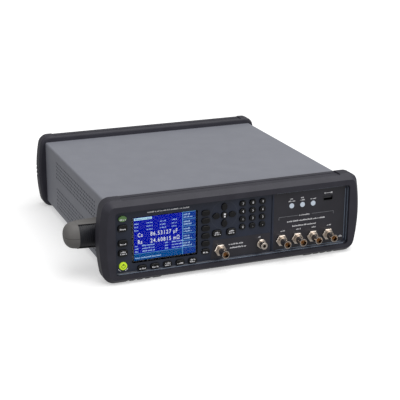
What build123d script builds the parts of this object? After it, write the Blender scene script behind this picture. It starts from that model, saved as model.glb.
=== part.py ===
from build123d import *
import os

# Bench LCR meter. Millimetres, +Z up, the front panel faces -Y.
# The origin is the middle of the overall box, on the table.
# Widths are counted from the case's centre line and depths from the front panel's face.

# ---- driving dimensions ----
case_width = 319.0
case_height = 88.0
case_depth = 332.0
case_floor = 8.5
cover_sheet = 1.2
cover_corner = 2.5

panel_width = 314.0
panel_height = 80.0
panel_floor = 11.5
panel_thick = 3.0

bumper_height = 105.0
bumper_half = 175.0
rear_bumper_half = 170.0
bumper_lean = 6.5
bumper_lip = 6.0
bumper_wrap = 22.0
rear_wrap = 20.0

handle_reach = 206.0
connector_reach = 19.5

# ---- worked out from them ----
case_mid = case_floor + case_height / 2
panel_mid = panel_floor + panel_height / 2
case_half = case_width / 2
case_x = (handle_reach - bumper_half) / 2
rear_reach = case_depth + connector_reach
panel_y = (connector_reach - rear_reach) / 2
inside_width = case_width - 2 * cover_sheet - 0.4
inside_height = case_height - 2 * cover_sheet - 0.4


def upright(depth):
    """Plane parallel to the front panel: x to the right, y up, normal towards the user."""
    return Plane(origin=(case_x, panel_y + depth, 0), x_dir=(1, 0, 0), z_dir=(0, -1, 0))


def level(height):
    """Horizontal plane: x to the right, y back from the panel's face."""
    return Plane(origin=(case_x, panel_y, height))


def side(reach):
    """Plane parallel to the left side: x forward from the panel's face, y up, normal to the left."""
    return Plane(origin=(case_x - reach, panel_y, 0), x_dir=(0, -1, 0), z_dir=(-1, 0, 0))


def save(piece, name):
    """Labels a finished piece and writes its STEP file."""
    piece.part.label = name
    export_step(piece.part, f"parts/{name}.step")


os.makedirs("parts", exist_ok=True)

# ---- bumpers: rubber rings round the two ends of the case, with ribbed feet ----
top_corner = 14.0
foot_corner = 15.0
nose_depth = 9.0
nose_height = 6.5
tail_soft = 4.0
raised_from = 146.0
raised_step = 1.2
foot_from = 98.0
foot_step = 2.5
tread_first = 110.0
tread_pitch = 10.0
tread_count = 4
tread_radius = 2.3
rib_count = 3
rib_pitch = 6.0
crease_width = 1.4
crease_depth = 0.8


def make_bumper(name, half, start, end, pocket_start, pocket_end, opening, crease, side_ribs):
    """A ring from depth start to end, creased along its top. The case fills the pocket."""
    with BuildPart() as ring:
        with BuildSketch(upright(end)) as outline:
            with BuildLine():
                edge = half - bumper_lean
                top = Line((-edge, bumper_height), (edge, bumper_height))
                right = ThreePointArc(top @ 1, (half, case_mid), (edge, 0))
                base = Line(right @ 1, (-edge, 0))
                ThreePointArc(base @ 1, (-half, case_mid), top @ 0)
            make_face()
            fillet(outline.vertices().group_by(Axis.Y)[-1], radius=top_corner)
            fillet(outline.vertices().group_by(Axis.Y)[0], radius=foot_corner)
        extrude(amount=end - start)
        outer_face = ring.faces().sort_by(Axis.Y)[0 if start < 0 else -1]
        inner_face = ring.faces().sort_by(Axis.Y)[-1 if start < 0 else 0]
        inner_edges = inner_face.edges()
        chamfer(outer_face.edges(), length=nose_height, length2=nose_depth, reference=outer_face)
        fillet(inner_edges, radius=tail_soft)
        with BuildSketch(upright(end)):
            with Locations((0, bumper_height)):
                Rectangle(2 * raised_from, 2 * raised_step)
            Rectangle(2 * foot_from, 2 * foot_step)
            for hand in (-1, 1):
                for tread in range(tread_count):
                    with Locations((hand * (tread_first + tread * tread_pitch), 0)):
                        Circle(tread_radius)
            with Locations((0, panel_mid)):
                RectangleRounded(opening[0], opening[1], 4.0)
        extrude(amount=end - start, mode=Mode.SUBTRACT)
        with BuildSketch(upright(pocket_end)):
            with Locations((0, case_mid)):
                RectangleRounded(case_width, case_height, cover_corner)
        extrude(amount=pocket_end - pocket_start, mode=Mode.SUBTRACT)
        with BuildSketch(upright(crease + crease_width)):
            with Locations((0, bumper_height - raised_step)):
                Rectangle(2 * raised_from, 2 * crease_depth)
        extrude(amount=crease_width, mode=Mode.SUBTRACT)
        if side_ribs:
            with BuildSketch(upright(end)):
                for hand in (-1, 1):
                    with Locations((hand * half, case_mid)):
                        with GridLocations(0, rib_pitch, 1, rib_count):
                            Circle(1.2)
            extrude(amount=end - start, mode=Mode.SUBTRACT)
    save(ring, name)


front_opening = (panel_width, panel_height)
rear_opening = (308.0, 77.0)
front_crease = 12.0
rear_crease = 320.0
make_bumper(
    "front_bumper", bumper_half, -bumper_lip, bumper_wrap,
    0, bumper_wrap, front_opening, front_crease, False,
)
make_bumper(
    "rear_bumper", rear_bumper_half, case_depth - rear_wrap, case_depth + bumper_lip,
    case_depth - rear_wrap, case_depth, rear_opening, rear_crease, True,
)

# ---- cover: one wrapped sheet, open at both ends, with vent rows in both sides ----
vent_length = 3.7
vent_width = 2.4
vent_pitch = 7.0
vent_row_pitch = 5.2
vent_columns = 27
vent_centre_depth = 163.0
vent_groups = ((5, 72.0), (6, 31.5))

with BuildPart() as case_cover:
    with BuildSketch(upright(case_depth)):
        with Locations((0, case_mid)):
            RectangleRounded(case_width, case_height, cover_corner)
            RectangleRounded(
                case_width - 2 * cover_sheet, case_height - 2 * cover_sheet,
                cover_corner - cover_sheet, mode=Mode.SUBTRACT,
            )
    extrude(amount=case_depth)
    with BuildSketch(side(case_half + 1)):
        for rows, height in vent_groups:
            with Locations((-vent_centre_depth, height)):
                with GridLocations(vent_pitch, vent_row_pitch, vent_columns, rows):
                    Rectangle(vent_length, vent_width)
    extrude(amount=-(case_width + 2), mode=Mode.SUBTRACT)
save(case_cover, "case_cover")

# ---- key caps: profiles about each key's centre ----
key_rise = 2.2
key_gap = 0.25
key_lip = 0.6
lip_thick = 1.2
lip_depth = panel_thick + 0.3
key_soft = 0.7

with BuildSketch() as power_cap:
    Circle(4.8)
with BuildSketch() as oval_cap:
    with BuildLine():
        crown = ThreePointArc((-5.7, 0), (0, 3.7), (5.7, 0))
        ThreePointArc(crown @ 1, (0, -3.7), crown @ 0)
    make_face()
    fillet(oval_cap.vertices(), radius=2.6)
with BuildSketch() as panel_cap:
    RectangleRounded(12.0, 8.2, 3.2)
with BuildSketch() as menu_cap:
    RectangleRounded(11.4, 6.6, 3.0)
with BuildSketch() as soft_cap:
    RectangleRounded(10.6, 6.8, 3.0)
with BuildSketch() as edit_cap:
    RectangleRounded(12.4, 9.0, 3.4)
with BuildSketch() as number_cap:
    RectangleRounded(8.0, 7.0, 3.0)
with BuildSketch() as enter_cap:
    Circle(4.2)
with BuildSketch() as arrow_cap:
    with BuildLine():
        near_side = ThreePointArc((0, 5.0), (3.7, 0.4), (1.8, -3.9))
        heel = ThreePointArc(near_side @ 1, (0, -4.5), (-1.8, -3.9))
        ThreePointArc(heel @ 1, (-3.7, 0.4), near_side @ 0)
    make_face()

left_column = -146.8
menu_row = 17.0
menu_first = -122.8
menu_pitch = 16.4
soft_column = -40.0
soft_first = 76.3
soft_pitch = 9.9
nav_centre = (-15.3, 70.6)
nav_pitch = 10.6
edit_row = 47.8
number_first = (9.3, 82.6)
number_pitch = (13.5, 10.1)

keys = [
    ("power_key", power_cap, left_column, 22.2, 0),
    ("display_key", oval_cap, left_column, 82.4, 0),
    ("preset_key", panel_cap, left_column, 70.4, 0),
    ("bias_key", panel_cap, left_column, 51.4, 0),
    ("trigger_key", panel_cap, left_column, 38.9, 0),
    ("return_key", soft_cap, soft_column, 26.4, 0),
    ("enter_key", enter_cap, nav_centre[0], nav_centre[1], 0),
    ("up_key", arrow_cap, nav_centre[0], nav_centre[1] + nav_pitch, 0),
    ("left_key", arrow_cap, nav_centre[0] - nav_pitch, nav_centre[1], 90),
    ("down_key", arrow_cap, nav_centre[0], nav_centre[1] - nav_pitch, 180),
    ("right_key", arrow_cap, nav_centre[0] + nav_pitch, nav_centre[1], 270),
    ("measure_key", edit_cap, -25.0, edit_row, 0),
    ("system_key", edit_cap, -6.0, edit_row, 0),
]
for index in range(5):
    keys.append((f"menu_key_{index + 1}", menu_cap, menu_first + index * menu_pitch, menu_row, 0))
    keys.append((f"soft_key_{index + 1}", soft_cap, soft_column, soft_first - index * soft_pitch, 0))
number_names = ("7", "8", "9", "4", "5", "6", "1", "2", "3", "0", "point", "sign")
for index, number_name in enumerate(number_names):
    number_x = number_first[0] + index % 3 * number_pitch[0]
    number_z = number_first[1] - index // 3 * number_pitch[1]
    keys.append((f"number_key_{number_name}", number_cap, number_x, number_z, 0))


def grown(cap, amount):
    """The cap's profile, made larger all round."""
    with BuildSketch() as larger:
        add(cap.sketch)
        offset(amount=amount)
    return larger.sketch


def make_key(name, cap, x, z, turn):
    """A key that passes through the bezel, with a lip behind it that holds it in."""
    with BuildPart() as key:
        with BuildSketch(upright(lip_depth + lip_thick)):
            with Locations((x, z)):
                add(cap.sketch, rotation=turn)
        extrude(amount=lip_depth + lip_thick + key_rise)
        fillet(key.faces().sort_by(Axis.Y)[0].edges(), radius=key_soft)
        with BuildSketch(upright(lip_depth + lip_thick)):
            with Locations((x, z)):
                add(grown(cap, key_lip), rotation=turn)
        extrude(amount=lip_thick)
    save(key, name)


for key_name, key_cap, key_x, key_z, key_turn in keys:
    make_key(key_name, key_cap, key_x, key_z, key_turn)

# ---- connectors on the front: their places are shared by the plates they pass through ----
bnc_first = 63.8
bnc_pitch = 22.0
bnc_row = 27.0
source_place = (-20.6, 25.6)
jack_place = (35.6, 26.2)
usb_place = (128.8, 75.6)
lamp_first = 77.3
lamp_pitch = 15.1
lamp_row = 71.2
bnc_places = [(bnc_first + index * bnc_pitch, bnc_row) for index in range(4)]
lamp_places = [(lamp_first + index * lamp_pitch, lamp_row) for index in range(3)]
bnc_hole = 4.9
jack_hole = 4.0
lamp_radius = 3.3
usb_size = (14.6, 7.2)

# ---- terminal plate: the printed plate of the right-hand section ----
plate_left = 52.6
plate_right = 153.6
plate_floor = 14.2
plate_top = 89.4
plate_thick = 0.8
plate_x = (plate_left + plate_right) / 2
plate_z = (plate_floor + plate_top) / 2
plate_size = (plate_right - plate_left, plate_top - plate_floor)

with BuildPart() as terminal_plate:
    with BuildSketch(upright(plate_thick)):
        with Locations((plate_x, plate_z)):
            RectangleRounded(plate_size[0], plate_size[1], 3.0)
        with Locations(*bnc_places):
            Circle(bnc_hole, mode=Mode.SUBTRACT)
        with Locations(*lamp_places):
            Circle(lamp_radius, mode=Mode.SUBTRACT)
        with Locations(usb_place):
            Rectangle(usb_size[0], usb_size[1], mode=Mode.SUBTRACT)
    extrude(amount=plate_thick)
save(terminal_plate, "terminal_plate")

# ---- display: the module sits behind a window that is set in the bezel ----
screen_place = (-92.8, 52.6)
window_size = (85.0, 58.0)
window_thick = 2.0
window_corner = 1.5
lcd_size = (91.0, 62.0)
lcd_depth = 3.2
lcd_thick = 7.5

with BuildPart() as display_window:
    with BuildSketch(upright(window_thick)):
        with Locations(screen_place):
            RectangleRounded(window_size[0], window_size[1], window_corner)
    extrude(amount=window_thick)
save(display_window, "display_window")

with BuildPart() as lcd_module:
    with BuildSketch(upright(lcd_depth + lcd_thick)):
        with Locations(screen_place):
            Rectangle(lcd_size[0], lcd_size[1])
    extrude(amount=lcd_thick)
    with BuildSketch(upright(lcd_depth + lcd_thick + 3)):
        with Locations((screen_place[0], screen_place[1] - 20)):
            Rectangle(60, 12)
    extrude(amount=3)
save(lcd_module, "lcd_module")

# ---- front bezel: the moulded panel that everything on the front is set in ----
rim_width = 2.0
rim_rise = 1.6
skirt_depth = 15.0
skirt_wall = 2.0
groove_x = 49.4
groove_width = 1.8
groove_depth = 1.0
post_radius = 2.5
board_depth = 6.2
post_places = [(-152.0, 60.5), (-49.0, 87.0), (-47.6, 15.0), (44.5, 57.0), (44.5, 42.0), (2.0, 42.0)]

with BuildPart() as front_bezel:
    with BuildSketch(upright(panel_thick)):
        with Locations((0, case_mid)):
            RectangleRounded(inside_width, inside_height, cover_corner - cover_sheet)
    extrude(amount=panel_thick)
    with BuildSketch(upright(skirt_depth)):
        with Locations((0, case_mid)):
            RectangleRounded(inside_width, inside_height, cover_corner - cover_sheet)
            Rectangle(inside_width - 2 * skirt_wall, inside_height - 2 * skirt_wall, mode=Mode.SUBTRACT)
    extrude(amount=skirt_depth - panel_thick)
    with BuildSketch(upright(0)):
        with Locations((0, panel_mid)):
            RectangleRounded(panel_width - 0.2, panel_height - 0.2, 3.9)
            RectangleRounded(
                panel_width - 2 * rim_width, panel_height - 2 * rim_width, 2.0, mode=Mode.SUBTRACT
            )
    extrude(amount=rim_rise)
    rim_edges = front_bezel.faces().sort_by(Axis.Y)[0].inner_wires()[0].edges()
    chamfer(rim_edges, length=rim_rise - 0.2)
    with BuildSketch(upright(panel_thick)):
        for key_name, key_cap, key_x, key_z, key_turn in keys:
            with Locations((key_x, key_z)):
                add(grown(key_cap, key_gap), rotation=key_turn)
        with Locations(*bnc_places, source_place):
            Circle(bnc_hole)
        with Locations(jack_place):
            Circle(jack_hole)
        with Locations(*lamp_places):
            Circle(lamp_radius)
        with Locations(usb_place):
            Rectangle(usb_size[0], usb_size[1])
        with Locations(screen_place):
            Rectangle(window_size[0] - 2, window_size[1] - 2)
    extrude(amount=panel_thick, mode=Mode.SUBTRACT)
    with BuildSketch(upright(window_thick)):
        with Locations(screen_place):
            RectangleRounded(window_size[0], window_size[1], window_corner)
    extrude(amount=window_thick, mode=Mode.SUBTRACT)
    with BuildSketch(upright(plate_thick)):
        with Locations((plate_x, plate_z)):
            RectangleRounded(plate_size[0], plate_size[1], 3.0)
    extrude(amount=plate_thick, mode=Mode.SUBTRACT)
    with BuildSketch(upright(groove_depth)):
        with Locations((groove_x, panel_mid)):
            Rectangle(groove_width, panel_height - 2 * rim_width)
    extrude(amount=groove_depth, mode=Mode.SUBTRACT)
    with BuildSketch(upright(board_depth)):
        with Locations(*post_places):
            Circle(post_radius)
    extrude(amount=board_depth - panel_thick)
save(front_bezel, "front_bezel")

# ---- key board: contacts for the keys, with a cut-out for the display module ----
board_sheet = 1.6
board_left = -155.0
board_right = 47.0
board_floor = 13.0
board_top = 90.0

with BuildPart() as key_board:
    with BuildSketch(upright(board_depth + board_sheet)):
        with Locations(((board_left + board_right) / 2, (board_floor + board_top) / 2)):
            Rectangle(board_right - board_left, board_top - board_floor)
        with Locations(screen_place):
            Rectangle(lcd_size[0] + 1, lcd_size[1] + 1, mode=Mode.SUBTRACT)
        with Locations(source_place, jack_place):
            Circle(8.5, mode=Mode.SUBTRACT)
    extrude(amount=board_sheet)
save(key_board, "key_board")

# ---- coaxial sockets: five on the front and one for the trigger at the rear ----
socket_collar = 3.2
socket_hex = 14.0
shoulder_radius = 5.7
shoulder_reach = 6.0
barrel_radius = 4.85
barrel_bore = 4.15
bore_floor = 8.5
lug_radius = 1.0
lug_span = 11.2
lug_reach = 14.5
thread_depth = 9.0
dielectric_radius = 2.3
dielectric_reach = 16.5
contact_radius = 0.75
pin_depth = 15.0
trigger_place = (-120.0, 50.0)


def make_socket_shells():
    """Hexagonal collar, shoulder, barrel with two bayonet lugs, and the threaded tail."""
    with BuildPart(Plane.XY) as shell:
        with BuildSketch():
            RegularPolygon(socket_hex / 2, 6, major_radius=False)
        extrude(amount=socket_collar)
        chamfer(shell.faces().sort_by(Axis.Z)[-1].edges(), length=0.5)
        with BuildSketch(Plane.XY.offset(socket_collar)):
            Circle(shoulder_radius)
        extrude(amount=shoulder_reach - socket_collar)
        with BuildSketch(Plane.XY.offset(shoulder_reach)):
            Circle(barrel_radius)
        extrude(amount=connector_reach - shoulder_reach)
        with BuildSketch(Plane.XZ.offset(-lug_span / 2)):
            with Locations((0, lug_reach)):
                Circle(lug_radius)
        extrude(amount=lug_span)
        with BuildSketch(Plane.XY.offset(connector_reach)):
            Circle(barrel_bore)
        extrude(amount=-(connector_reach - bore_floor), mode=Mode.SUBTRACT)
        with BuildSketch():
            Circle(barrel_radius)
        extrude(amount=-thread_depth)
        with BuildSketch(Plane.XY.offset(connector_reach)):
            Circle(dielectric_radius)
        extrude(amount=-(connector_reach + thread_depth), mode=Mode.SUBTRACT)
    return shell.part


def make_socket_insert():
    """Dielectric sleeve and the hollow centre contact inside it, as one insert with its tail pin."""
    with BuildPart(Plane.XY) as insert:
        with BuildSketch(Plane.XY.offset(-thread_depth)):
            Circle(dielectric_radius)
            Circle(contact_radius, mode=Mode.SUBTRACT)
        extrude(amount=thread_depth + dielectric_reach)
        with BuildSketch(Plane.XY.offset(-pin_depth)):
            Circle(contact_radius)
        extrude(amount=pin_depth + bore_floor)
    return insert.part


socket_planes = [upright(0) * Pos(x, z, 0) for x, z in bnc_places + [source_place]]
rear_plane = Plane(origin=(case_x, panel_y + case_depth, 0), x_dir=(-1, 0, 0), z_dir=(0, 1, 0))
socket_planes.append(rear_plane * Pos(-trigger_place[0], trigger_place[1], 0))

with BuildPart() as bnc_sockets:
    with Locations(*socket_planes):
        add(make_socket_shells())
save(bnc_sockets, "bnc_sockets")

with BuildPart() as bnc_inserts:
    with Locations(*socket_planes):
        add(make_socket_insert())
save(bnc_inserts, "bnc_inserts")

# ---- earth terminal: a 4 mm socket with a stepped metal body ----
jack_collar_radius = 6.2
jack_collar = 3.0
jack_body_radius = 4.6
jack_reach = 11.0
jack_bore = 2.05
jack_tail = 10.0

with BuildPart() as ground_jack:
    with BuildSketch(upright(0)):
        with Locations(jack_place):
            Circle(jack_collar_radius)
    extrude(amount=jack_collar)
    chamfer(ground_jack.faces().sort_by(Axis.Y)[0].edges(), length=0.6)
    with BuildSketch(upright(0)):
        with Locations(jack_place):
            Circle(jack_body_radius)
    extrude(amount=jack_reach)
    fillet(ground_jack.faces().sort_by(Axis.Y)[0].edges(), radius=0.8)
    with BuildSketch(upright(jack_tail)):
        with Locations(jack_place):
            Circle(jack_hole - 0.1)
    extrude(amount=jack_tail)
    with BuildSketch(upright(4.0)):
        with Locations(jack_place):
            Circle(jack_bore)
    extrude(amount=4.0 + jack_reach, mode=Mode.SUBTRACT)
save(ground_jack, "ground_jack")

# ---- USB host port: a metal shell with its contact tongue ----
usb_depth = 15.0
usb_mouth = (12.5, 5.1)

with BuildPart() as usb_port:
    with BuildSketch(upright(usb_depth)):
        with Locations(usb_place):
            Rectangle(usb_size[0] - 0.2, usb_size[1] - 0.2)
    extrude(amount=usb_depth)
    with BuildSketch(upright(usb_depth - 1.5)):
        with Locations(usb_place):
            Rectangle(usb_mouth[0], usb_mouth[1])
            with Locations((0, 0.9)):
                Rectangle(11.0, 1.8, mode=Mode.SUBTRACT)
    extrude(amount=usb_depth - 1.5, mode=Mode.SUBTRACT)
    with BuildSketch(upright(1.2)):
        with Locations(usb_place):
            Rectangle(usb_mouth[0], usb_mouth[1])
    extrude(amount=1.2, mode=Mode.SUBTRACT)
save(usb_port, "usb_port")

# ---- indicator lenses: three round white light guides ----
with BuildPart() as indicator_lenses:
    with BuildSketch(upright(panel_thick + 2)):
        with Locations(*lamp_places):
            Circle(lamp_radius - 0.05)
    extrude(amount=panel_thick + 2.4)
save(indicator_lenses, "indicator_lenses")

# ---- rear panel, with its connectors and the fan's grille ----
rear_thick = 2.0
fan_place = (66.0, 52.5)
fan_size = 60.0
inlet_place = (124.0, 50.0)
inlet_body = (27.6, 20.2)
bus_place = (-14.0, 66.0)
bus_body = (47.0, 12.0)
lan_place = (-76.0, 64.0)
lan_body = (16.0, 13.5)
grille_rings = (9.0, 15.0, 21.0, 27.0)
grille_slot = 3.6
grille_spoke = 3.0
rear_vent_columns = 14

with BuildPart() as rear_panel:
    with BuildSketch(upright(case_depth)):
        with Locations((0, case_mid)):
            RectangleRounded(inside_width, inside_height, cover_corner - cover_sheet)
        for ring_radius in grille_rings:
            with Locations(fan_place):
                Circle(ring_radius + grille_slot / 2, mode=Mode.SUBTRACT)
                Circle(ring_radius - grille_slot / 2)
        with Locations(fan_place):
            Rectangle(fan_size, grille_spoke)
            Rectangle(grille_spoke, fan_size)
        with Locations(inlet_place):
            Rectangle(inlet_body[0], inlet_body[1], mode=Mode.SUBTRACT)
        with Locations(bus_place):
            Rectangle(bus_body[0], bus_body[1], mode=Mode.SUBTRACT)
        with Locations(lan_place):
            Rectangle(lan_body[0], lan_body[1], mode=Mode.SUBTRACT)
        with Locations(trigger_place):
            Circle(bnc_hole, mode=Mode.SUBTRACT)
        with Locations((-14.0, 32.0)):
            with GridLocations(6.0, 14.0, rear_vent_columns, 2):
                Rectangle(3.0, 10.0, mode=Mode.SUBTRACT)
    extrude(amount=rear_thick)
save(rear_panel, "rear_panel")

# ---- mains inlet: a recessed three-pole inlet on a screwed flange ----
inlet_flange = (48.0, 24.0)
inlet_flange_thick = 3.0
inlet_tail = 24.0
inlet_mouth = (25.0, 17.0)
inlet_recess = 16.0
inlet_blade = (2.0, 4.0)
inlet_blades = [(-7.0, -2.0), (0, 2.0), (7.0, -2.0)]

with BuildPart() as mains_inlet:
    with BuildSketch(upright(case_depth)):
        with Locations(inlet_place):
            RectangleRounded(inlet_flange[0], inlet_flange[1], 3.0)
    extrude(amount=-inlet_flange_thick)
    with BuildSketch(upright(case_depth)):
        with Locations(inlet_place):
            Rectangle(inlet_body[0] - 0.2, inlet_body[1] - 0.2)
    extrude(amount=inlet_tail)
    with BuildSketch(upright(case_depth + inlet_flange_thick)):
        with Locations(inlet_place):
            Rectangle(inlet_mouth[0], inlet_mouth[1])
    extrude(amount=inlet_recess, mode=Mode.SUBTRACT)
    with BuildSketch(upright(case_depth + inlet_flange_thick - inlet_recess)):
        with Locations(inlet_place):
            with Locations(*inlet_blades):
                Rectangle(inlet_blade[0], inlet_blade[1])
    extrude(amount=-(inlet_recess - 2.5))
save(mains_inlet, "mains_inlet")

# ---- instrument bus connector: a ribbon-contact socket in a metal shell ----
bus_flange = (66.0, 16.0)
bus_reach = 11.0

with BuildPart() as bus_connector:
    with BuildSketch(upright(case_depth)):
        with Locations(bus_place):
            RectangleRounded(bus_flange[0], bus_flange[1], 2.0)
    extrude(amount=-1.5)
    with BuildSketch(upright(case_depth + 1.5)):
        with Locations(bus_place):
            RectangleRounded(bus_body[0], bus_body[1], 3.0)
            RectangleRounded(bus_body[0] - 2, bus_body[1] - 2, 2.0, mode=Mode.SUBTRACT)
            Rectangle(bus_body[0] - 8, 4.0)
    extrude(amount=-(bus_reach - 1.5))
    with BuildSketch(upright(case_depth)):
        with Locations(bus_place):
            Rectangle(bus_body[0] - 0.4, bus_body[1] - 0.4)
    extrude(amount=12.0)
save(bus_connector, "bus_connector")

# ---- network port: an eight-way jack ----
lan_mouth = (11.8, 8.2)

with BuildPart() as lan_port:
    with BuildSketch(upright(case_depth + 1)):
        with Locations(lan_place):
            Rectangle(lan_body[0] - 0.2, lan_body[1] - 0.2)
            with Locations((0, -0.8)):
                Rectangle(lan_mouth[0], lan_mouth[1], mode=Mode.SUBTRACT)
    extrude(amount=19.0)
    with BuildSketch(upright(case_depth + 1 - 17)):
        with Locations(lan_place):
            Rectangle(lan_body[0] - 0.2, lan_body[1] - 0.2)
    extrude(amount=2.0)
save(lan_port, "lan_port")

# ---- fan: a square duct with a bearing on struts, and a seven-bladed rotor ----
fan_thick = 20.0
fan_rear = case_depth - rear_thick
fan_duct = 28.5
fan_boss = 9.0
strut_thick = 2.5
shaft_radius = 1.5
shaft_gap = 0.05
rotor_radius = 27.5
hub_radius = 12.0
rotor_thick = 14.0
rotor_rear = fan_rear - strut_thick - 1.5
blade_count = 7
blade_pitch = 38.0

with BuildPart() as fan_frame:
    with BuildSketch(upright(fan_rear)):
        with Locations(fan_place):
            RectangleRounded(fan_size, fan_size, 4.0)
            Circle(fan_duct, mode=Mode.SUBTRACT)
    extrude(amount=fan_thick)
    with BuildSketch(upright(fan_rear)):
        with Locations(fan_place):
            Circle(fan_boss)
            Rectangle(2 * fan_duct + 1, 3.0)
            Rectangle(3.0, 2 * fan_duct + 1)
            Circle(shaft_radius + shaft_gap, mode=Mode.SUBTRACT)
    extrude(amount=strut_thick)
save(fan_frame, "fan_frame")

with BuildPart() as fan_rotor:
    with BuildSketch(upright(rotor_rear)):
        with Locations(fan_place):
            Circle(hub_radius)
    extrude(amount=rotor_thick)
    with BuildSketch(upright(fan_rear)):
        with Locations(fan_place):
            Circle(shaft_radius)
    extrude(amount=fan_rear - rotor_rear)
    with Locations(upright(rotor_rear - rotor_thick / 2) * Pos(fan_place[0], fan_place[1], 0)):
        with PolarLocations((hub_radius + rotor_radius) / 2 - 1, blade_count):
            Box(rotor_radius - hub_radius + 2, 1.2, rotor_thick, rotation=(blade_pitch, 0, 0))
save(fan_rotor, "fan_rotor")

# ---- chassis tray: folded sheet that carries the boards inside the cover ----
tray_front = 17.0
tray_rear = 327.0
tray_sheet = 1.5
tray_floor = case_floor + cover_sheet + 0.2
tray_wall = 28.0
main_height = 21.0
standoff_places = [(-140, 40), (-20, 40), (70, 40), (-140, 285), (-20, 285), (20, 160)]
tray_width = inside_width - 1.2
tray_mid_depth = (tray_front + tray_rear) / 2
tray_length = tray_rear - tray_front

with BuildPart() as chassis_tray:
    with BuildSketch(level(tray_floor)):
        with Locations((0, tray_mid_depth)):
            Rectangle(tray_width, tray_length)
    extrude(amount=tray_wall)
    with BuildSketch(level(tray_floor + tray_sheet)):
        with Locations((0, tray_mid_depth)):
            Rectangle(tray_width - 2 * tray_sheet, tray_length + 1)
    extrude(amount=tray_wall, mode=Mode.SUBTRACT)
    with BuildSketch(level(tray_floor + tray_sheet)):
        with Locations(*standoff_places):
            Circle(3.0)
    extrude(amount=main_height - tray_floor - tray_sheet)
save(chassis_tray, "chassis_tray")

# ---- main board: a circuit board with its screening can, heat sink and capacitors ----
main_left = -150.0
main_right = 84.0
main_front = 30.0
main_rear = 300.0
can_size = (150.0, 110.0, 22.0)
can_place = (-60.0, 100.0)
sink_place = (-100.0, 225.0)
sink_fins = 8
capacitor_places = [(20, 200), (40, 200), (60, 200), (20, 225), (40, 225), (60, 225)]

with BuildPart() as main_board:
    with BuildSketch(level(main_height)):
        with Locations(((main_left + main_right) / 2, (main_front + main_rear) / 2)):
            Rectangle(main_right - main_left, main_rear - main_front)
    extrude(amount=board_sheet)
    with BuildSketch(level(main_height + board_sheet)):
        with Locations(can_place):
            Rectangle(can_size[0], can_size[1])
    extrude(amount=can_size[2])
    with BuildSketch(level(main_height + board_sheet)):
        with Locations(sink_place):
            Rectangle(50, 50)
    extrude(amount=4)
    with BuildSketch(level(main_height + board_sheet + 4)):
        with Locations(sink_place):
            with GridLocations(6.5, 0, sink_fins, 1):
                Rectangle(2.0, 50)
    extrude(amount=20)
    with BuildSketch(level(main_height + board_sheet)):
        with Locations(*capacitor_places):
            Circle(6.0)
    extrude(amount=24)
save(main_board, "main_board")

# ---- power supply: a board with a transformer, a heat-sink plate and reservoir capacitors ----
supply_x = 120.0
supply_front = 110.0
supply_rear = 290.0
supply_width = 60.0
supply_height = 18.0

with BuildPart() as power_supply:
    with BuildSketch(level(supply_height)):
        with Locations((supply_x, (supply_front + supply_rear) / 2)):
            Rectangle(supply_width, supply_rear - supply_front)
    extrude(amount=board_sheet)
    with BuildSketch(level(supply_height + board_sheet)):
        with Locations((supply_x, 165)):
            Rectangle(46, 56)
    extrude(amount=42)
    with BuildSketch(level(supply_height + board_sheet)):
        with Locations((supply_x - 26, 245)):
            Rectangle(4, 76)
    extrude(amount=48)
    with BuildSketch(level(supply_height + board_sheet)):
        with Locations((supply_x + 12, 225), (supply_x + 12, 262)):
            Circle(12.5)
    extrude(amount=36)
save(power_supply, "power_supply")

# ---- side handle: a domed grip on a fixed spindle, with a ribbed rubber sleeve inside its arms ----
handle_depth = 48.0
handle_height = 51.5
boss_radius = 16.5
boss_thick = 3.2
spindle_radius = 7.0
spindle_gap = 0.05
sleeve_start = case_half + boss_thick + 0.3
sleeve_end = 190.0
sleeve_root = 16.9
sleeve_tip = 15.6
ring_root = 17.6
ring_step = 0.13
ring_width = 1.3
ring_pitch = 2.5
ring_count = 10
grip_bore = spindle_radius + spindle_gap
arm_root = 18.7
arm_tip = 17.3
arm_thick = 0.9
arm_opening = 30.8
grip_root = 17.2
grip_tip = 14.4
grip_round = 12.0
spindle_end = 195.0
bore_end = spindle_end + 0.4
handle_place = (-handle_depth, handle_height)
handle_axis = Axis((case_x, panel_y + handle_depth, handle_height), (-1, 0, 0))
handle_section = Plane(
    origin=(case_x, panel_y + handle_depth, handle_height), x_dir=(-1, 0, 0), z_dir=(0, -1, 0)
)

with BuildPart() as handle_spindle:
    with BuildSketch(side(case_half)):
        with Locations(handle_place):
            Circle(boss_radius)
    extrude(amount=boss_thick)
    with BuildSketch(side(case_half + boss_thick)):
        with Locations(handle_place):
            Circle(spindle_radius)
    extrude(amount=spindle_end - case_half - boss_thick)
save(handle_spindle, "handle_spindle")

with BuildPart() as handle_sleeve:
    with BuildSketch(handle_section):
        with BuildLine():
            Polyline(
                (sleeve_start, grip_bore), (sleeve_start, sleeve_root), (sleeve_end, sleeve_tip),
                (sleeve_end, grip_bore), close=True,
            )
        make_face()
    revolve(axis=handle_axis)
    for index in range(ring_count):
        with BuildSketch(side(sleeve_start + 0.8 + index * ring_pitch)):
            with Locations(handle_place):
                Circle(ring_root - index * ring_step)
                Circle(grip_bore + 2, mode=Mode.SUBTRACT)
        extrude(amount=ring_width)
save(handle_sleeve, "handle_sleeve")

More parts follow.
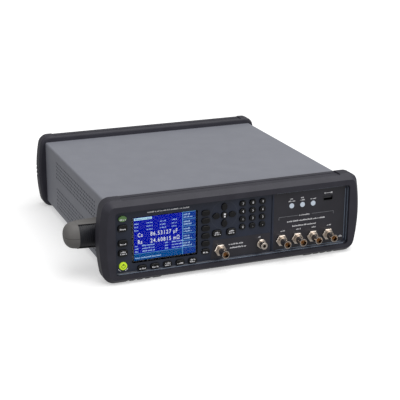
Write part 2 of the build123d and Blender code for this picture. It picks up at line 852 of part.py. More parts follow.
with BuildPart() as handle_grip:
    with BuildSketch(handle_section):
        with BuildLine():
            Polyline(
                (sleeve_start, arm_root - arm_thick), (sleeve_start, arm_root), (sleeve_end + 1, arm_tip),
                (sleeve_end + 1, arm_tip - arm_thick), close=True,
            )
        make_face()
    revolve(axis=handle_axis)
    with BuildSketch(side(sleeve_start)):
        with Locations(handle_place):
            Rectangle(3 * arm_root, arm_opening)
    extrude(amount=sleeve_end + 1 - sleeve_start, mode=Mode.SUBTRACT)
    with BuildSketch(handle_section):
        with BuildLine():
            FilletPolyline(
                (sleeve_end, grip_root), (handle_reach, grip_tip), (handle_reach, 0), radius=grip_round
            )
            Polyline(
                (handle_reach, 0), (bore_end, 0), (bore_end, grip_bore),
                (sleeve_end, grip_bore), (sleeve_end, grip_root),
            )
        make_face()
    revolve(axis=handle_axis)
save(handle_grip, "handle_grip")
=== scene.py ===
import math
import random

import bmesh
import bpy
from mathutils import Matrix, Vector


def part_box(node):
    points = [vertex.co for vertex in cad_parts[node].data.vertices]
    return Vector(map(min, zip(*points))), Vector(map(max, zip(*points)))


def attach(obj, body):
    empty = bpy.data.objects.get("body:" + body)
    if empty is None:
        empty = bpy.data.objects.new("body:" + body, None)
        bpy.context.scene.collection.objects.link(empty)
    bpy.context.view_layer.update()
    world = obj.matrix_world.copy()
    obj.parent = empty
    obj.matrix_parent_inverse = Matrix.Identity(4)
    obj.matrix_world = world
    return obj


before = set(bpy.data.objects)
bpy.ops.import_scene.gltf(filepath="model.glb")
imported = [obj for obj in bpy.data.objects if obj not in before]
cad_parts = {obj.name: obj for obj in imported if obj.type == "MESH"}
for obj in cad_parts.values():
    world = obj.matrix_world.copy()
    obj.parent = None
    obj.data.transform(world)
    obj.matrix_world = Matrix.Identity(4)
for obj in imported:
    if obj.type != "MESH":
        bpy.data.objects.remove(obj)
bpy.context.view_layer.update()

MM = 0.001

# ---- camera and lights: lengths in metres, angles in degrees, lamp power in watts ----
camera_place = (-0.5053, -1.3349, 0.5125)
camera_turn = (71.61, -0.29, -21.95)
camera_lens_mm = 98.6
camera_rise = 0.0010
studio_lit = 0.38
studio_seen = 0.97
sun_from = (0.45, -0.35, 1.3)
sun_spread = 70
sun_strength = 1.9


def make_camera():
    """A long lens from the left of the front, a little above the case."""
    lens = bpy.data.cameras.new("camera")
    lens.lens = camera_lens_mm
    lens.shift_y = camera_rise
    lens.clip_start = 0.05
    lens.clip_end = 20
    camera = bpy.data.objects.new("camera", lens)
    camera.location = camera_place
    camera.rotation_euler = [math.radians(turn) for turn in camera_turn]
    bpy.context.scene.collection.objects.link(camera)
    bpy.context.scene.camera = camera


def make_light(name, place, target, size, power):
    """A soft square area light that points at the target."""
    lamp = bpy.data.lights.new(name, "AREA")
    lamp.size = size
    lamp.energy = power
    light = bpy.data.objects.new(name, lamp)
    light.location = place
    light.rotation_euler = (Vector(target) - Vector(place)).to_track_quat("-Z", "Y").to_euler()
    bpy.context.scene.collection.objects.link(light)


def make_overhead(place, spread, strength):
    """A very soft overhead light, the same all over the floor."""
    lamp = bpy.data.lights.new("overhead", "SUN")
    lamp.energy = strength
    lamp.angle = math.radians(spread)
    light = bpy.data.objects.new("overhead", lamp)
    light.rotation_euler = (-Vector(place)).to_track_quat("-Z", "Y").to_euler()
    bpy.context.scene.collection.objects.link(light)


make_camera()
make_overhead(sun_from, sun_spread, sun_strength)
make_light("front_light", (0.7, -1.8, 0.7), (0, -0.1, 0.05), 1.0, 5)
make_light("side_light", (-1.6, -0.9, 0.9), (-0.1, -0.1, 0.05), 0.5, 3.0)
bpy.context.scene.view_settings.view_transform = "Standard"

# ---- colours and nodes ----


def colour(hex_code):
    """An sRGB hex value as linear red, green, blue and alpha."""
    linear = []
    for start in (0, 2, 4):
        level = int(hex_code[start:start + 2], 16) / 255
        linear.append(level / 12.92 if level <= 0.04045 else ((level + 0.055) / 1.055) ** 2.4)
    return (*linear, 1)


def add_node(tree, kind, inputs=None, **settings):
    """Adds a node. A socket in inputs is linked, and any other value is set."""
    made = tree.nodes.new(kind)
    for name, value in settings.items():
        setattr(made, name, value)
    for socket, value in (inputs or {}).items():
        if isinstance(value, bpy.types.NodeSocket):
            tree.links.new(value, made.inputs[socket])
        else:
            made.inputs[socket].default_value = value
    return made


def make_world(lit, seen):
    """An even studio all round, which lights the object less than it shows."""
    world = bpy.data.worlds.new("studio")
    world.use_nodes = True
    tree = world.node_tree
    path = add_node(tree, "ShaderNodeLightPath")
    level = add_node(
        tree, "ShaderNodeMapRange", {"Value": path.outputs["Is Camera Ray"], "To Min": lit, "To Max": seen}
    )
    background = tree.nodes["Background"]
    background.inputs["Color"].default_value = (1, 1, 1, 1)
    tree.links.new(level.outputs["Result"], background.inputs["Strength"])
    bpy.context.scene.world = world


make_world(studio_lit, studio_seen)

# ---- materials ----


def start_material(name, **sockets):
    """A new material: its node tree, its shader and itself."""
    material = bpy.data.materials.new(name)
    material.use_nodes = True
    tree = material.node_tree
    shader = tree.nodes["Principled BSDF"]
    for socket, value in sockets.items():
        shader.inputs[socket.replace("_", " ")].default_value = value
    return material, tree, shader


def object_noise(tree, size_mm, detail=2.0, stretch=(1, 1, 1)):
    """Noise on Object coordinates whose features are about size_mm across."""
    coordinates = add_node(tree, "ShaderNodeTexCoord")
    mapping = add_node(
        tree, "ShaderNodeMapping", {"Vector": coordinates.outputs["Object"], "Scale": stretch}
    )
    return add_node(
        tree, "ShaderNodeTexNoise",
        {"Vector": mapping.outputs["Vector"], "Scale": 1 / (size_mm * MM), "Detail": detail},
    )


def vary_colour(tree, shader, noise, dark, light, socket="Base Color", ends=(0.35, 0.65)):
    """A colour of the shader drifts between two hex colours with the noise, from one end to the other."""
    ramp = add_node(tree, "ShaderNodeValToRGB", {"Fac": noise.outputs["Fac"]})
    for element, end, hex_code in zip(ramp.color_ramp.elements, ends, (dark, light)):
        element.position = end
        element.color = colour(hex_code)
    tree.links.new(ramp.outputs["Color"], shader.inputs[socket])


def vary_roughness(tree, shader, noise, low, high):
    """The roughness drifts between two values with the noise."""
    spread = add_node(
        tree, "ShaderNodeMapRange", {"Value": noise.outputs["Fac"], "To Min": low, "To Max": high}
    )
    tree.links.new(spread.outputs["Result"], shader.inputs["Roughness"])


def add_bump(tree, shader, noise, height_mm):
    """The noise as a relief of height_mm."""
    bump = add_node(
        tree, "ShaderNodeBump",
        {"Height": noise.outputs["Fac"], "Distance": height_mm * MM, "Strength": 1.0},
    )
    tree.links.new(bump.outputs["Normal"], shader.inputs["Normal"])


polymer_drift_mm = 22
polymer_sheen_spread = 0.07
metal_mark_mm = 0.8
metal_mark_depth_mm = 0.01
metal_drift_mm = 6
metal_sheen_spread = 0.06
glow_drift_mm = 40


def moulded(name, dark, light, roughness, grain_mm, relief_mm, **sockets):
    """A moulded polymer: a slow drift of tone, an even grain and a broken sheen."""
    material, tree, shader = start_material(name, **sockets)
    vary_colour(tree, shader, object_noise(tree, polymer_drift_mm), dark, light)
    grain = object_noise(tree, grain_mm, 3.0)
    vary_roughness(tree, shader, grain, roughness - polymer_sheen_spread, roughness + polymer_sheen_spread)
    add_bump(tree, shader, grain, relief_mm)
    return material


def metal(name, dark, light, roughness, streak):
    """A metal surface with fine tooling or rolling marks along one way."""
    material, tree, shader = start_material(name, Metallic=1.0)
    marks = object_noise(tree, metal_mark_mm, 2.0, streak)
    vary_colour(tree, shader, object_noise(tree, metal_drift_mm), dark, light)
    vary_roughness(tree, shader, marks, roughness - metal_sheen_spread, roughness + metal_sheen_spread)
    add_bump(tree, shader, marks, metal_mark_depth_mm)
    return material


def glowing(name, base, strength, dark, light, gloss=0.0):
    """A lit surface whose glow drifts a little over its width."""
    material, tree, shader = start_material(name, Roughness=0.4, Specular_IOR_Level=gloss)
    shader.inputs["Base Color"].default_value = colour(base)
    shader.inputs["Emission Strength"].default_value = strength
    vary_colour(tree, shader, object_noise(tree, glow_drift_mm), dark, light, "Emission Color", (0, 1))
    return material


def make_grip_nylon():
    """The grip's moulded nylon, with the fine dark line where its mould parts."""
    material = moulded("glass_filled_nylon", "6C6A68", "737170", 0.52, 1.0, 0.04, IOR=1.5)
    tree = material.node_tree
    shader = tree.nodes["Principled BSDF"]
    low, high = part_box("handle_grip")
    line_half = 0.25 * MM
    coordinates = add_node(tree, "ShaderNodeTexCoord")
    place = add_node(tree, "ShaderNodeSeparateXYZ", {"Vector": coordinates.outputs["Object"]})
    line = add_node(
        tree, "ShaderNodeMath", {0: place.outputs["Z"], 1: (low.z + high.z) / 2, 2: line_half},
        operation="COMPARE",
    )
    plain = shader.inputs["Base Color"].links[0].from_socket
    lined = add_node(
        tree, "ShaderNodeMix", {0: line.outputs[0], 6: plain, 7: colour("3C3A39")}, data_type="RGBA"
    )
    tree.links.new(lined.outputs[2], shader.inputs["Base Color"])
    return material


# Powder-coated steel sheet: an even satin grey with a fine pebbled texture.
cover_paint = moulded("powder_coated_steel", "83858E", "868891", 0.50, 1.1, 0.03, IOR=1.5)
# Moulded elastomer: charcoal, matt, with the dull sheen of handled rubber.
bumper_rubber = moulded("charcoal_elastomer", "2C2B35", "32313B", 0.50, 1.4, 0.05, IOR=1.45)
# ABS with a spark-eroded texture: blue-black and slightly satin.
bezel_plastic = moulded("textured_abs", "1E2434", "252C3E", 0.42, 0.9, 0.03, IOR=1.5)
# Polyester overlay, printed on its back: brownish black under a satin film.
plate_print = moulded("printed_polyester", "2A2930", "2F2E36", 0.34, 0.7, 0.01, IOR=1.5)
# Keys moulded in black silicone, with a soft sheen on their rounded edges.
key_rubber = moulded("black_silicone", "09090B", "0D0D10", 0.36, 0.8, 0.02, IOR=1.43)
# Green tinted polycarbonate key.
display_green = moulded("green_polycarbonate", "587F45", "679150", 0.40, 0.8, 0.01, IOR=1.58)
# Glass-filled nylon of the grip: warm grey and dry to the touch.
grip_nylon = make_grip_nylon()
# Black rubber of the ribbed sleeve.
sleeve_rubber = moulded("ribbed_rubber", "1A1B22", "20212A", 0.42, 0.9, 0.03, IOR=1.5)
# Black nylon of fan and inlet.
black_nylon = moulded("black_nylon", "141416", "1B1B1E", 0.45, 0.9, 0.02, IOR=1.53)
# Bare bronze that lines the coaxial sockets: brown gold and deep.
socket_lining = metal("phosphor_bronze", "8A5C36", "A87646", 0.40, (1, 6, 1))
# Nickel over turned brass: bright, a little warm.
nickel = metal("nickel_plated_brass", "D6CABE", "E6DCD2", 0.20, (1, 1, 6))
# Bright zinc on rolled steel.
zinc = metal("zinc_plated_steel", "A9ABAD", "B9BBBD", 0.34, (1, 8, 1))
# Black-oxide shell of the host port: dark, with a metal sheen.
port_shell = metal("black_oxide_steel", "46464A", "58585C", 0.30, (6, 1, 1))
# Tinned shell of the small ports.
tinned = metal("tinned_steel", "9A9A9A", "B0B0AE", 0.28, (6, 1, 1))
# Solder mask over copper.
circuit_green = moulded("solder_mask", "12381C", "184824", 0.30, 1.6, 0.02, IOR=1.5)
# Varnished windings and sleeved capacitors.
supply_dark = moulded("varnished_windings", "2A2018", "3A2C20", 0.40, 1.2, 0.05, IOR=1.5)
# Light guides: milky acrylic with light inside.
lens_white = glowing("milky_acrylic", "BCC6D2", 0.22, "C8D4E4", "D8E4F4", 0.5)
# Power key: tinted acrylic, lit from behind.
power_lit = glowing("lit_green_acrylic", "A8C020", 0.62, "A4C420", "B8D838", 0.4)


def make_window_material():
    """Cast acrylic: clear, with a clean gloss and the faintest surface ripple."""
    material, tree, shader = start_material(
        "clear_acrylic", Transmission_Weight=1.0, IOR=1.2, Roughness=0.02
    )
    add_bump(tree, shader, object_noise(tree, 30), 0.01)
    return material


window_clear = make_window_material()
# Screen colours: each is a lit area of the display.
screen_blue = glowing("lit_screen_blue", "000206", 1.0, "0010A4", "0016B0")
screen_cell = glowing("lit_screen_cell", "00050C", 1.0, "083690", "0C3E9C")
screen_strip = glowing("lit_screen_strip", "00050C", 1.0, "00488E", "005098")
screen_line = glowing("lit_screen_line", "0A1420", 1.0, "5AA8E0", "7CC0F0")
screen_white = glowing("lit_screen_white", "202020", 1.0, "E6F4FF", "FFFFFF")
screen_pale = glowing("lit_screen_pale", "202020", 1.0, "A4CCF8", "BCDCFF")
screen_title = glowing("lit_screen_title", "202020", 1.0, "B8F4FF", "D8FCFF")
# Painted highlight: thin blue-grey lines stand in for the glint that the moulding edges catch.
edge_highlight_paint = moulded("painted_edge_highlight", "94A4B8", "A4B4C8", 0.25, 0.9, 0.005, IOR=1.53)
# The bezel's own plastic in a lighter, glossier tone, for its raised ring.
bezel_lighter_tone = moulded("lighter_abs", "2C323E", "333A46", 0.35, 0.9, 0.01, IOR=1.53)
# Screen-printed ink: flat white, slightly chalky.
white_ink = moulded("white_ink", "ECECF0", "F6F6FA", 0.55, 0.5, 0.005, IOR=1.5)
grey_ink = moulded("grey_ink", "8C8E94", "9A9CA2", 0.55, 0.5, 0.005, IOR=1.5)
print_black = moulded("black_ink", "1C1C1E", "232326", 0.55, 0.5, 0.005, IOR=1.5)
dark_ink = moulded("dark_ink", "26301A", "2C381E", 0.55, 0.5, 0.005, IOR=1.5)

node_finish = {
    "case_cover": cover_paint,
    "front_bumper": bumper_rubber,
    "rear_bumper": bumper_rubber,
    "front_bezel": bezel_plastic,
    "terminal_plate": plate_print,
    "display_window": window_clear,
    "lcd_module": black_nylon,
    "key_board": circuit_green,
    "main_board": circuit_green,
    "power_supply": supply_dark,
    "chassis_tray": zinc,
    "rear_panel": zinc,
    "fan_frame": black_nylon,
    "fan_rotor": black_nylon,
    "mains_inlet": black_nylon,
    "bus_connector": tinned,
    "lan_port": tinned,
    "usb_port": port_shell,
    "bnc_sockets": nickel,
    "bnc_inserts": socket_lining,
    "ground_jack": nickel,
    "indicator_lenses": lens_white,
    "handle_spindle": black_nylon,
    "handle_sleeve": sleeve_rubber,
    "handle_grip": grip_nylon,
    "power_key": power_lit,
    "display_key": display_green,
}
for node_name, node_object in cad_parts.items():
    finish = node_finish.get(node_name, key_rubber)
    node_object.data.materials.clear()
    node_object.data.materials.append(finish)

# ---- places, all read from the frame ----
cover_low, cover_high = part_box("case_cover")
case_x = (cover_low.x + cover_high.x) / 2
panel_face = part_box("terminal_plate")[0].y
rear_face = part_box("rear_panel")[1].y
lcd_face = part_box("lcd_module")[0].y
key_names = [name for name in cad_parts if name.endswith("_key") or "_key_" in name]

INK = 0.05 * MM
INK_GAP = 0.01 * MM
CAP_HEIGHT = 0.72  # height of a capital in the built-in font, over its size


def middle(node):
    """The centre of a node's box."""
    low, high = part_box(node)
    return (low + high) / 2


def make_piece(name, shape, finish, body="case"):
    """Turns a bmesh into a piece that rides on a body."""
    mesh = bpy.data.meshes.new(name)
    shape.to_mesh(mesh)
    shape.free()
    piece = bpy.data.objects.new(name, mesh)
    bpy.context.scene.collection.objects.link(piece)
    mesh.materials.append(finish)
    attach(piece, body)


def add_bar(shape, x, z, width, height, face, thick=INK, turn=0.0):
    """A flat bar of ink on a face that looks along -Y, centred on x and z."""
    spin = Matrix.Rotation(turn, 4, "Y")
    size = Matrix.Diagonal((width, thick, height, 1))
    place = Matrix.Translation((x, face - thick / 2, z))
    bmesh.ops.create_cube(shape, size=1, matrix=place @ spin @ size)


def add_words(shape, x, z, width, height, face, seed):
    """A row of short uneven bars, as wide as a line of small print, centred on x and z."""
    chance = random.Random(seed)
    letter = height * 0.5
    at = x - width / 2
    while at < x + width / 2 - letter * 0.5:
        tall = height * chance.choice((0.6, 0.72, 1.0))
        wide = letter * chance.uniform(0.6, 1.0)
        add_bar(shape, at + wide / 2, z - (height - tall) / 2, wide, tall, face)
        at += wide + letter * (0.42 if chance.random() > 0.22 else 1.3)


def add_ring(shape, x, z, outer, inner, face):
    """A flat ring of ink on a face that looks along -Y."""
    upright = Matrix.Translation((x, face, z)) @ Matrix.Rotation(math.radians(90), 4, "X")
    circle = bmesh.ops.create_circle(shape, segments=48, radius=outer, matrix=upright)
    edges = list({edge for vertex in circle["verts"] for edge in vertex.link_edges})
    band = bmesh.ops.extrude_edge_only(shape, edges=edges)["geom"]
    inside = [part for part in band if isinstance(part, bmesh.types.BMVert)]
    ratio = inner / outer
    bmesh.ops.scale(shape, verts=inside, vec=(ratio, 1, ratio), space=Matrix.Translation((-x, -face, -z)))
    faces = [part for part in band if isinstance(part, bmesh.types.BMFace)]
    bmesh.ops.recalc_face_normals(shape, faces=faces)
    bmesh.ops.solidify(shape, geom=faces, thickness=INK)


def add_text(name, words, height, x, z, face, finish, body="case", **style):
    """Raised figures and unit signs on a face that looks along -Y.

    style holds align, narrow (width over the font's own), spacing and weight (stroke growth over height).
    """
    curve = bpy.data.curves.new(name, "FONT")
    curve.body = words
    curve.size = height / CAP_HEIGHT
    curve.align_x = style.get("align", "CENTER")
    curve.align_y = "CENTER"
    curve.extrude = INK / 2
    curve.space_character = style.get("spacing", 1.0)
    curve.offset = style.get("weight", 0.0) * height
    curve.resolution_u = 3
    writing = bpy.data.objects.new(name, curve)
    bpy.context.scene.collection.objects.link(writing)
    mesh = bpy.data.meshes.new_from_object(writing)
    bpy.data.objects.remove(writing)
    bpy.data.curves.remove(curve)
    stand = Matrix.Translation((x, face - INK / 2, z)) @ Matrix.Rotation(math.radians(90), 4, "X")
    mesh.transform(stand @ Matrix.Diagonal((style.get("narrow", 1.0), 1, 1, 1)))
    piece = bpy.data.objects.new(name, mesh)
    bpy.context.scene.collection.objects.link(piece)
    mesh.materials.clear()
    mesh.materials.append(finish)
    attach(piece, body)


# ---- screen image, just in front of the display module ----
screen_face = lcd_face - 0.1 * MM
screen_low = Vector((case_x - 131.6 * MM, 0, 25.6 * MM))
screen_high = Vector((case_x - 52.0 * MM, 0, 79.9 * MM))
soft_edge = screen_high.x - 17.0 * MM
strip_top = screen_low.z + 8.3 * MM


def screen_rectangle(name, left, right, floor, top, layer, finish):
    """One lit area of the screen."""
    shape = bmesh.new()
    face = screen_face - layer * INK
    add_bar(shape, (left + right) / 2, (floor + top) / 2, right - left, top - floor, face)
    make_piece(name, shape, finish)


# Columns of small print: left edge from the screen's own, and width, in mm.
set_up_columns = ((0.8, 5.4), (16.2, 7.4), (33.2, 7.2), (48.6, 6.6))
monitor_columns = ((1.4, 4.0), (10.4, 15.6), (39.6, 4.2), (48.6, 15.2))
# Rows in mm: the set-up rows down from the screen's top, the monitor rows up from the strip.
set_up_drops = (7.6, 11.8, 16.0)
monitor_rises = (9.9, 6.3, 2.7)
small_height = 1.7 * MM
reading_height = 5.2 * MM
# The two readings: symbol, figures, unit, and drop from the screen's top in mm.
readings = (("Cs", "86.53127", "µF", 22.6), ("Rs", "24.60815", "mΩ", 31.4))
soft_labels = 5


def make_screen():
    """The measurement page: set-up lines, two large readings, monitor lines and soft-key labels."""
    screen_rectangle(
        "screen_ground", screen_low.x, screen_high.x, screen_low.z, screen_high.z, 0, screen_blue
    )
    screen_rectangle("screen_strip", screen_low.x, soft_edge, screen_low.z, strip_top, 1, screen_strip)
    screen_rectangle("screen_cells", soft_edge, screen_high.x, screen_low.z, screen_high.z, 1, screen_cell)
    title_right = screen_low.x + 23.0 * MM
    title_floor = screen_high.z - 3.4 * MM
    title_left = screen_low.x + 0.4 * MM
    title_top = screen_high.z - 0.5 * MM
    screen_rectangle("screen_title", title_left, title_right, title_floor, title_top, 1, screen_title)

    lines = bmesh.new()
    face = screen_face - 2 * INK
    tall = screen_high.z - screen_low.z
    add_bar(lines, soft_edge, (screen_low.z + screen_high.z) / 2, 0.6 * MM, tall, face)
    add_bar(lines, (screen_low.x + soft_edge) / 2, strip_top, soft_edge - screen_low.x, 0.4 * MM, face)
    cell = (screen_high.z - strip_top) / soft_labels
    cell_x = (soft_edge + screen_high.x) / 2
    cell_width = screen_high.x - soft_edge
    for index in range(soft_labels + 1):
        add_bar(lines, cell_x, strip_top + index * cell, cell_width, 0.4 * MM, face)
    make_piece("screen_lines", lines, screen_line)

    small = bmesh.new()
    for row, drop in enumerate(set_up_drops):
        for column, (left, width) in enumerate(set_up_columns):
            x = screen_low.x + (left + width / 2) * MM
            z = screen_high.z - drop * MM
            add_words(small, x, z, width * MM, small_height, face, 10 * row + column)
    for row, rise in enumerate(monitor_rises):
        for column, (left, width) in enumerate(monitor_columns):
            x = screen_low.x + (left + width / 2) * MM
            z = strip_top + rise * MM
            add_words(small, x, z, width * MM, small_height, face, 100 + 10 * row + column)
    add_words(small, screen_low.x + 18 * MM, screen_low.z + 3.0 * MM, 33 * MM, 1.8 * MM, face, 7)
    make_piece("screen_small_print", small, screen_pale)

    labels = bmesh.new()
    for index in range(soft_labels):
        z = screen_high.z - (index + 0.5) * cell
        x = soft_edge + 6.0 * MM
        add_words(labels, x - 0.6 * MM, z + 1.7 * MM, 8.0 * MM, 2.0 * MM, face, 200 + index)
        add_words(labels, x + 0.8 * MM, z - 1.7 * MM, 10.6 * MM, 2.0 * MM, face, 210 + index)
    make_piece("screen_soft_labels", labels, screen_pale)

    title = bmesh.new()
    add_words(title, screen_low.x + 11.6 * MM, screen_high.z - 1.9 * MM, 20 * MM, 1.6 * MM, face, 5)
    make_piece("screen_title_print", title, screen_blue)

    for index, (symbol, reading, unit, drop) in enumerate(readings):
        z = screen_high.z - drop * MM
        for part, words, left, narrow, spacing in (
            ("symbol", symbol, 4.6, 0.78, 1.15),
            ("reading", reading, 20.9, 0.8, 1.26),
            ("unit", unit, 50.2, 0.74, 1.12),
        ):
            add_text(
                f"screen_{part}_{index + 1}", words, reading_height, screen_low.x + left * MM, z, face,
                screen_white, align="LEFT", narrow=narrow, spacing=spacing, weight=0.010,
            )


make_screen()

# ---- legends on the keys: figures on the number keys, plain marks on the others ----
number_marks = {"point": ".", "sign": "-"}
two_line_keys = ("measure_key", "system_key", "trigger_key", "menu_key_3", "menu_key_5")
plain_keys = ("up_key", "down_key", "left_key", "right_key")


def make_key_legends():
    """Each legend rides on its own key."""
    for index, name in enumerate(sorted(key_names)):
        if name.startswith("soft_key") or name in plain_keys:
            continue
        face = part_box(name)[0].y - INK_GAP
        centre = middle(name)
        if name.startswith("number_key"):
            kind = name.split("_")[-1]
            figure = number_marks.get(kind, kind)
            add_text(f"{name}_legend", figure, 3.0 * MM, centre.x, centre.z, face, white_ink, name)
            continue
        legend = bmesh.new()
        finish = white_ink
        if name == "enter_key":
            add_bar(legend, centre.x, centre.z + 1.5 * MM, 2.6 * MM, 2.0 * MM, face)
            add_bar(legend, centre.x, centre.z - 1.5 * MM, 2.0 * MM, 2.0 * MM, face)
        elif name == "power_key":
            add_ring(legend, centre.x, centre.z, 2.6 * MM, 1.9 * MM, face)
            add_bar(legend, centre.x, centre.z + 2.0 * MM, 0.8 * MM, 2.8 * MM, face)
            finish = dark_ink
        else:
            add_words(legend, centre.x, centre.z - 0.9 * MM, 7.6 * MM, 1.9 * MM, face, 300 + index)
            if name in two_line_keys:
                add_words(legend, centre.x, centre.z + 1.6 * MM, 6.2 * MM, 1.8 * MM, face, 340 + index)
        make_piece(f"{name}_legend", legend, finish, name)


make_key_legends()

# ---- print on the panel ----
panel_ink = panel_face - INK_GAP
OVERLAY = 0.12 * MM


def make_source_overlay():
    """The darker strip under the keypad, with a slanted left end."""
    floor = 14.4 * MM
    top = 39.2 * MM
    left = case_x - 33.0 * MM
    right = case_x + 47.8 * MM
    shape = bmesh.new()
    add_bar(shape, (left + right) / 2, (floor + top) / 2, right - left, top - floor, panel_ink, OVERLAY)
    for vertex in shape.verts:
        if vertex.co.x < case_x and vertex.co.z > (floor + top) / 2:
            vertex.co.x += 3.6 * MM
    make_piece("source_overlay", shape, plate_print)


# Each line of small print: x from the case's middle, z, width and height in mm, and its random seed.
panel_lines = (
    (-88, 86.4, 54, 1.7, 400),
    (77.3, 77.4, 9.0, 1.6, 410), (77.3, 80.4, 4.4, 1.6, 420),
    (92.4, 77.4, 6.4, 1.6, 411), (92.4, 80.4, 4.4, 1.6, 421),
    (107.5, 77.4, 7.4, 1.6, 412),
    (96, 57.4, 15, 1.7, 430), (98.6, 50.4, 54, 1.8, 431), (96.0, 43.8, 34, 1.8, 432),
    (65.8, 38.9, 6.0, 1.6, 440), (87.8, 38.9, 6.0, 1.6, 441),
    (109.8, 38.9, 6.0, 1.6, 442), (131.8, 38.9, 6.0, 1.6, 443),
    (149.2, 21.6, 4.6, 2.6, 450),
)
overlay_lines = ((1.5, 31.0, 20, 1.9, 451), (4.0, 26.2, 22, 1.9, 452), (33.6, 35.4, 3.4, 1.6, 453))


def make_panel_print():
    """Small lettering stood for by uneven bars, and plain line marks."""
    ink = bmesh.new()
    for x, z, width, height, seed in panel_lines:
        add_words(ink, case_x + x * MM, z * MM, width * MM, height * MM, panel_ink, seed)
    for x, z, width, height, seed in overlay_lines:
        add_words(ink, case_x + x * MM, z * MM, width * MM, height * MM, panel_ink - OVERLAY, seed)
    make_piece("panel_print", ink, white_ink)

    rule = bmesh.new()
    z = 57.4 * MM
    stroke = 0.35 * MM
    for x, width in ((73.6, 27.6), (122, 31.0)):
        add_bar(rule, case_x + x * MM, z, width * MM, stroke, panel_ink)
    for x in (59.9, 137.4):
        add_bar(rule, case_x + x * MM, z - 1.8 * MM, stroke, 3.8 * MM, panel_ink)
    make_piece("panel_rules", rule, grey_ink)


def make_plug_mark():
    """A plain pictogram of a flat plug above the host port."""
    mark = bmesh.new()
    port = middle("usb_port")
    z = port.z + 7.0 * MM
    add_bar(mark, port.x, z, 9.0 * MM, 0.5 * MM, panel_ink)
    add_bar(mark, port.x + 4.6 * MM, z, 2.6 * MM, 1.9 * MM, panel_ink)
    add_bar(mark, port.x - 4.6 * MM, z, 1.6 * MM, 1.6 * MM, panel_ink, INK, math.radians(45))
    make_piece("plug_mark", mark, white_ink)


def make_standby_marks():
    """Two short curved strokes under the power key."""
    marks = bmesh.new()
    key = middle("power_key")
    reach = 7.0 * MM
    for angle in (-142, -130, -118, -62, -50, -38):
        turn = math.radians(angle)
        x = key.x + reach * math.cos(turn)
        z = key.z + reach * math.sin(turn)
        add_bar(marks, x, z, 0.7 * MM, 1.6 * MM, panel_ink, INK, -turn)
    make_piece("standby_marks", marks, white_ink)


def make_painted_highlight_lines():
    """Painted highlight: bright lines drawn where the rim and the terminal plate catch the light."""
    lines = bmesh.new()
    rim_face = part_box("front_bezel")[0].y - INK_GAP
    plate_low, plate_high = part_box("terminal_plate")
    rim_half = 156.5 * MM
    floor = 12.0 * MM
    top = 91.0 * MM
    add_bar(lines, case_x, floor, 2 * rim_half - 8 * MM, 0.5 * MM, rim_face)
    add_bar(lines, case_x + rim_half, (floor + top) / 2, 0.5 * MM, top - floor - 8 * MM, rim_face)
    add_bar(lines, case_x + 102 * MM, top, 100 * MM, 0.4 * MM, rim_face)
    plate_x = (plate_low.x + plate_high.x) / 2
    plate_z = (plate_low.z + plate_high.z) / 2
    wide = plate_high.x - plate_low.x - 7 * MM
    tall = plate_high.z - plate_low.z - 7 * MM
    add_bar(lines, plate_x, plate_low.z, wide, 0.35 * MM, panel_ink)
    add_bar(lines, plate_x, plate_high.z, wide, 0.35 * MM, panel_ink)
    add_bar(lines, plate_high.x, plate_z, 0.35 * MM, tall, panel_ink)
    make_piece("painted_highlight_lines", lines, edge_highlight_paint)


def make_pad_ring():
    """A faint raised ring round the arrow keys."""
    ring = bmesh.new()
    centre = middle("enter_key")
    add_ring(ring, centre.x, centre.z, 18.2 * MM, 17.6 * MM, panel_ink)
    make_piece("pad_ring", ring, bezel_lighter_tone)


make_painted_highlight_lines()
make_pad_ring()
make_source_overlay()
make_panel_print()
make_plug_mark()
make_standby_marks()

# ---- screws of the rear panel ----


def add_screw(shape, x, z, face, radius):
    """A pan-head screw, on a face that looks along +Y."""
    upright = Matrix.Translation((x, face, z)) @ Matrix.Rotation(math.radians(-90), 4, "X")
    head = bmesh.ops.create_cone(
        shape, cap_ends=True, segments=28, radius1=radius, radius2=radius * 0.82, depth=1.6 * MM,
        matrix=upright @ Matrix.Translation((0, 0, 0.8 * MM)),
    )
    rim = [edge for edge in shape.edges if edge.link_faces and set(edge.verts) <= set(head["verts"])]
    top = [edge for edge in rim if min(v.co.y for v in edge.verts) > face + 1.5 * MM]
    bmesh.ops.bevel(shape, geom=top, offset=0.4 * MM, segments=2, profile=0.5, affect="EDGES", material=-1)


def make_rear_screws():
    """Six screws hold the rear panel, and two the inlet."""
    shape = bmesh.new()
    low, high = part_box("rear_panel")
    for x in (low.x + 9 * MM, (low.x + high.x) / 2, high.x - 9 * MM):
        for z in (low.z + 8 * MM, high.z - 8 * MM):
            add_screw(shape, x, z, rear_face, 3.0 * MM)
    inlet = middle("mains_inlet")
    inlet_face = rear_face + 3.0 * MM
    for hand in (-1, 1):
        add_screw(shape, inlet.x + hand * 19.6 * MM, inlet.z, inlet_face, 2.4 * MM)
    make_piece("rear_screws", shape, zinc)


def add_rear_bar(shape, x, z, width, height):
    """A flat bar of ink on the rear panel's outer face."""
    size = Matrix.Diagonal((width, INK, height, 1))
    place = Matrix.Translation((x, rear_face + INK / 2 + INK_GAP, z))
    bmesh.ops.create_cube(shape, size=1, matrix=place @ size)


def add_rear_words(shape, x, z, width, height, seed):
    """A row of short uneven bars on the rear panel."""
    chance = random.Random(seed)
    at = x - width / 2
    while at < x + width / 2:
        wide = height * chance.uniform(0.3, 0.55)
        tall = height * chance.choice((0.6, 0.72, 1.0))
        add_rear_bar(shape, at + wide / 2, z - (height - tall) / 2, wide, tall)
        at += wide + height * (0.22 if chance.random() > 0.22 else 0.65)


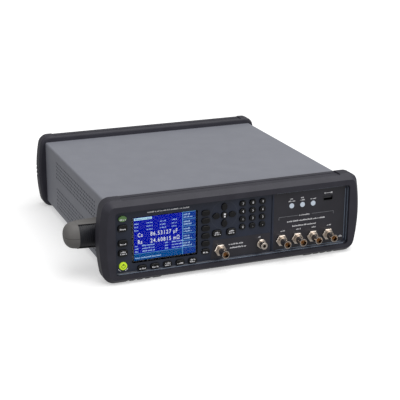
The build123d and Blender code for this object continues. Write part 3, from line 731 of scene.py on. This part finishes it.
def make_rear_print():
    """Lines of small print by the rear connectors and the fan, and three below the network jack."""
    ink = bmesh.new()
    captions = (
        ("bus_connector", 24, 11.5),
        ("lan_port", 12, 10.5),
        ("mains_inlet", 26, 17.5),
        ("fan_frame", 18, 34.0),
    )
    for index, (node, width, rise) in enumerate(captions):
        centre = middle(node)
        add_rear_words(ink, centre.x, centre.z + rise * MM, width * MM, 2.2 * MM, 500 + index)
    trigger_x = case_x - 120 * MM
    add_rear_words(ink, trigger_x, 61.0 * MM, 15 * MM, 2.2 * MM, 510)
    add_rear_words(ink, trigger_x, 37.5 * MM, 22 * MM, 1.8 * MM, 511)
    for row in range(3):
        add_rear_words(ink, case_x - 82 * MM, (42 - 4.2 * row) * MM, 34 * MM, 1.8 * MM, 520 + row)
    make_piece("rear_print", ink, print_black)


def make_base_screws():
    """Six countersunk screws in the underside of the cover."""
    shape = bmesh.new()
    low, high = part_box("case_cover")
    mid_y = (low.y + high.y) / 2
    inset = 24 * MM
    spacing = 110 * MM
    for x in (low.x + inset, high.x - inset):
        for y in (mid_y - spacing, mid_y, mid_y + spacing):
            place = Matrix.Translation((x, y, low.z - 0.3 * MM))
            bmesh.ops.create_cone(
                shape, cap_ends=True, segments=28, radius1=2.6 * MM, radius2=3.2 * MM, depth=0.8 * MM,
                matrix=place,
            )
            for turn in (0, math.radians(90)):
                cross = Matrix.Translation((x, y, low.z - 0.72 * MM)) @ Matrix.Rotation(turn, 4, "Z")
                size = Matrix.Diagonal((3.2 * MM, 0.7 * MM, 0.1 * MM, 1))
                bmesh.ops.create_cube(shape, size=1, matrix=cross @ size)
    make_piece("base_screws", shape, zinc)


make_rear_screws()
make_rear_print()
make_base_screws()

# ---- floor ----
floor_glow = 0.42


def make_floor():
    """A plain pale floor with a weak glow. It neither lights the object nor shows in its reflections."""
    shape = bmesh.new()
    bmesh.ops.create_grid(shape, x_segments=1, y_segments=1, size=6)
    mesh = bpy.data.meshes.new("floor")
    shape.to_mesh(mesh)
    shape.free()
    floor = bpy.data.objects.new("floor", mesh)
    bpy.context.scene.collection.objects.link(floor)
    material, tree, shader = start_material("pale_floor", Roughness=0.9, Emission_Strength=floor_glow)
    vary_colour(tree, shader, object_noise(tree, 300), "E4E4E4", "E8E8E8")
    shader.inputs["Emission Color"].default_value = colour("FFFFFF")
    mesh.materials.append(material)
    floor.visible_diffuse = False
    floor.visible_glossy = False


make_floor()
